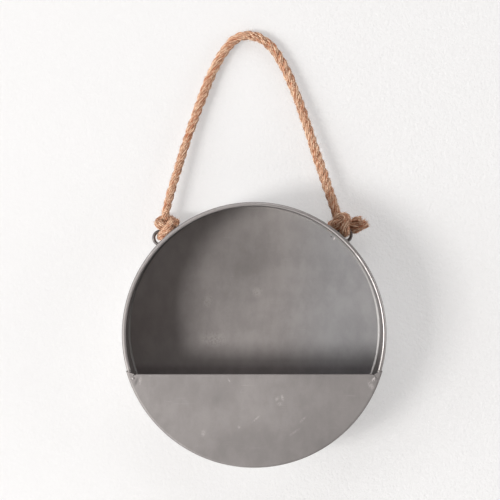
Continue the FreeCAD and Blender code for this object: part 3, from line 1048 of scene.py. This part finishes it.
class PLANTER_OT_rope_loop(bpy.types.Operator):
    """Lay the rope's free loop and its loose fibres"""

    bl_idname = "planter.rope_loop"
    bl_label = "Rope loop"

    def execute(self, context):
        rope = context.scene.planter_rope
        line = loop_line()
        piece, roots, fibres, _ = laid_rope(
            "jute_rope", line, lambda share: at_share(LOOP_RADII, share), rope,
        )
        hairs = hair_piece("rope_hairs", roots, fibres, rope.hairs, LOOP_SEED)
        give(piece, bpy.data.materials["laid_jute"])
        give(hairs, bpy.data.materials["loose_jute"])
        hinge = Vector(frame["joints"][0]["pos_m"])
        above = hinge + Vector((0.0, 0.0, BEND_HEIGHT))
        for part in (piece, hairs):
            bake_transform(part, METAL_BODY, LOOP_BODY, start=hinge, end=above)
        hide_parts("rope")
        return {"FINISHED"}


def loop_line():
    """The free loop's middle line. It goes up from the left knot."""
    return Line(spline_points(LOOP_ROUTE), Vector((0.0, -1.0, 0.0)))


class PLANTER_OT_rope_knots(bpy.types.Operator):
    """Tie the rope's two ends to the ears"""

    bl_idname = "planter.rope_knots"
    bl_label = "Rope knots"

    def execute(self, context):
        rope = context.scene.planter_rope
        loop = loop_line()
        for side, route in KNOT_ROUTES.items():
            first = self.first_side(loop, side, rope)
            yarn_start = 0.0 if side == "left" else -TAU * loop.length / rope.yarn_lay
            line = Line(spline_points(route), first)
            radii = KNOT_RADII[side]
            piece, roots, fibres, tips = laid_rope(
                f"knot_{side}", line, lambda share: at_share(radii, share), rope, yarn_start,
                TAIL_FANS[side],
            )
            hairs = hair_piece(
                f"knot_{side}_hairs", roots, fibres, rope.hairs // 3, KNOT_SEED, tips, TUFT_REACH[side],
            )
            give(piece, bpy.data.materials["laid_jute"])
            give(hairs, bpy.data.materials["loose_jute"])
            for part in (piece, hairs):
                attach(part, METAL_BODY)
            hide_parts(f"rope_knot_{side}")
        return {"FINISHED"}

    def first_side(self, loop, side, rope):
        """Where the loop's first strand lies at that end, so that the knot's strands follow on."""
        if side == "left":
            return loop.sides[0]
        turn = TAU * loop.length / rope.lay
        head, steady = loop.heads[-1], loop.sides[-1]
        return steady * math.cos(turn) + head.cross(steady) * math.sin(turn)


class PLANTER_OT_metal(bpy.types.Operator):
    """Finish the sheet, the wire and the solder"""

    bl_idname = "planter.metal"
    bl_label = "Metal"

    def execute(self, context):
        metal = context.scene.planter_metal
        finishes = {
            "zinc_sheet": self.sheet("galvanised_sheet", metal.sheet, "front_panel"),
            "wire": plain_metal(
                "galvanised_wire", metal.wire, roughness=0.42, metallic=0.9, grain=WIRE_GRAIN,
            ),
            "solder": plain_metal(
                "tin_solder", metal.solder, roughness=0.32, metallic=1.0, grain=SOLDER_GRAIN,
            ),
        }
        own = {
            "side_band": self.sheet("galvanised_bent_sheet", metal.sheet, "side_band"),
            "back_disc": self.sheet("galvanised_back_sheet_painted_paler", metal.sheet, "back_disc"),
            "back_solder": self.sheet("bright_solder_painted_light", metal.solder, "back_solder"),
            "corner_solder": plain_metal(
                "dull_solder", metal.sheet, roughness=0.6, metallic=1.0, grain=SOLDER_GRAIN,
            ),
        }
        slots = {row["node"]: row["material_slot"] for row in frame["record"]["subparts"]}
        for name, node in frame["nodes"].items():
            if name in own:
                give(node, own[name])
            elif slots[name] in finishes:
                give(node, finishes[slots[name]])
        return {"FINISHED"}

    def sheet(self, name, colour, piece):
        """The sheet material with the piece's own finish, its painted light and shade, and its scuff marks."""
        finish = dict(SHEET_FINISH[piece])
        paler = Vector(colour) * finish.pop("paler")
        return sheet_material(name, paler, light_drifts=PAINTED_LIGHT_DRIFTS[piece], scuffs_and_shading=SCUFFS_AND_PAINTED_LIGHT.get(piece, ()), **finish)


class PLANTER_OT_finishes(bpy.types.Operator):
    """Make the node groups and the rope's materials"""

    bl_idname = "planter.finishes"
    bl_label = "Finishes"

    def execute(self, context):
        rope = context.scene.planter_rope
        worn_sheet_group()
        fibre_group()
        jute_material(rope)
        hair_material(rope)
        return {"FINISHED"}


class PLANTER_PT_panel(bpy.types.Panel):
    """The planter's pieces and their settings"""

    bl_label = "Wall planter"
    bl_space_type = "VIEW_3D"
    bl_region_type = "UI"
    bl_category = "Planter"

    def draw(self, context):
        for name in SETTINGS:
            group_of = getattr(context.scene, name)
            box = self.layout.box()
            for key in type(group_of).__annotations__:
                box.prop(group_of, key)
        for operator in OPERATORS:
            self.layout.operator(operator.bl_idname)


SETTINGS = {
    "planter_stage": StageSettings,
    "planter_rope": RopeSettings,
    "planter_metal": MetalSettings,
}
OPERATORS = (
    PLANTER_OT_stage,
    PLANTER_OT_finishes,
    PLANTER_OT_rope_loop,
    PLANTER_OT_rope_knots,
    PLANTER_OT_metal,
)


def register():
    for kind in (*SETTINGS.values(), *OPERATORS, PLANTER_PT_panel):
        bpy.utils.register_class(kind)
    for name, kind in SETTINGS.items():
        setattr(bpy.types.Scene, name, bpy.props.PointerProperty(type=kind))


def unregister():
    for name in SETTINGS:
        delattr(bpy.types.Scene, name)
    for kind in (PLANTER_PT_panel, *OPERATORS, *SETTINGS.values()):
        bpy.utils.unregister_class(kind)


def main():
    register()
    for operator in OPERATORS:
        area, name = operator.bl_idname.split(".")
        getattr(getattr(bpy.ops, area), name)()


if __name__ == "__main__":
    main()
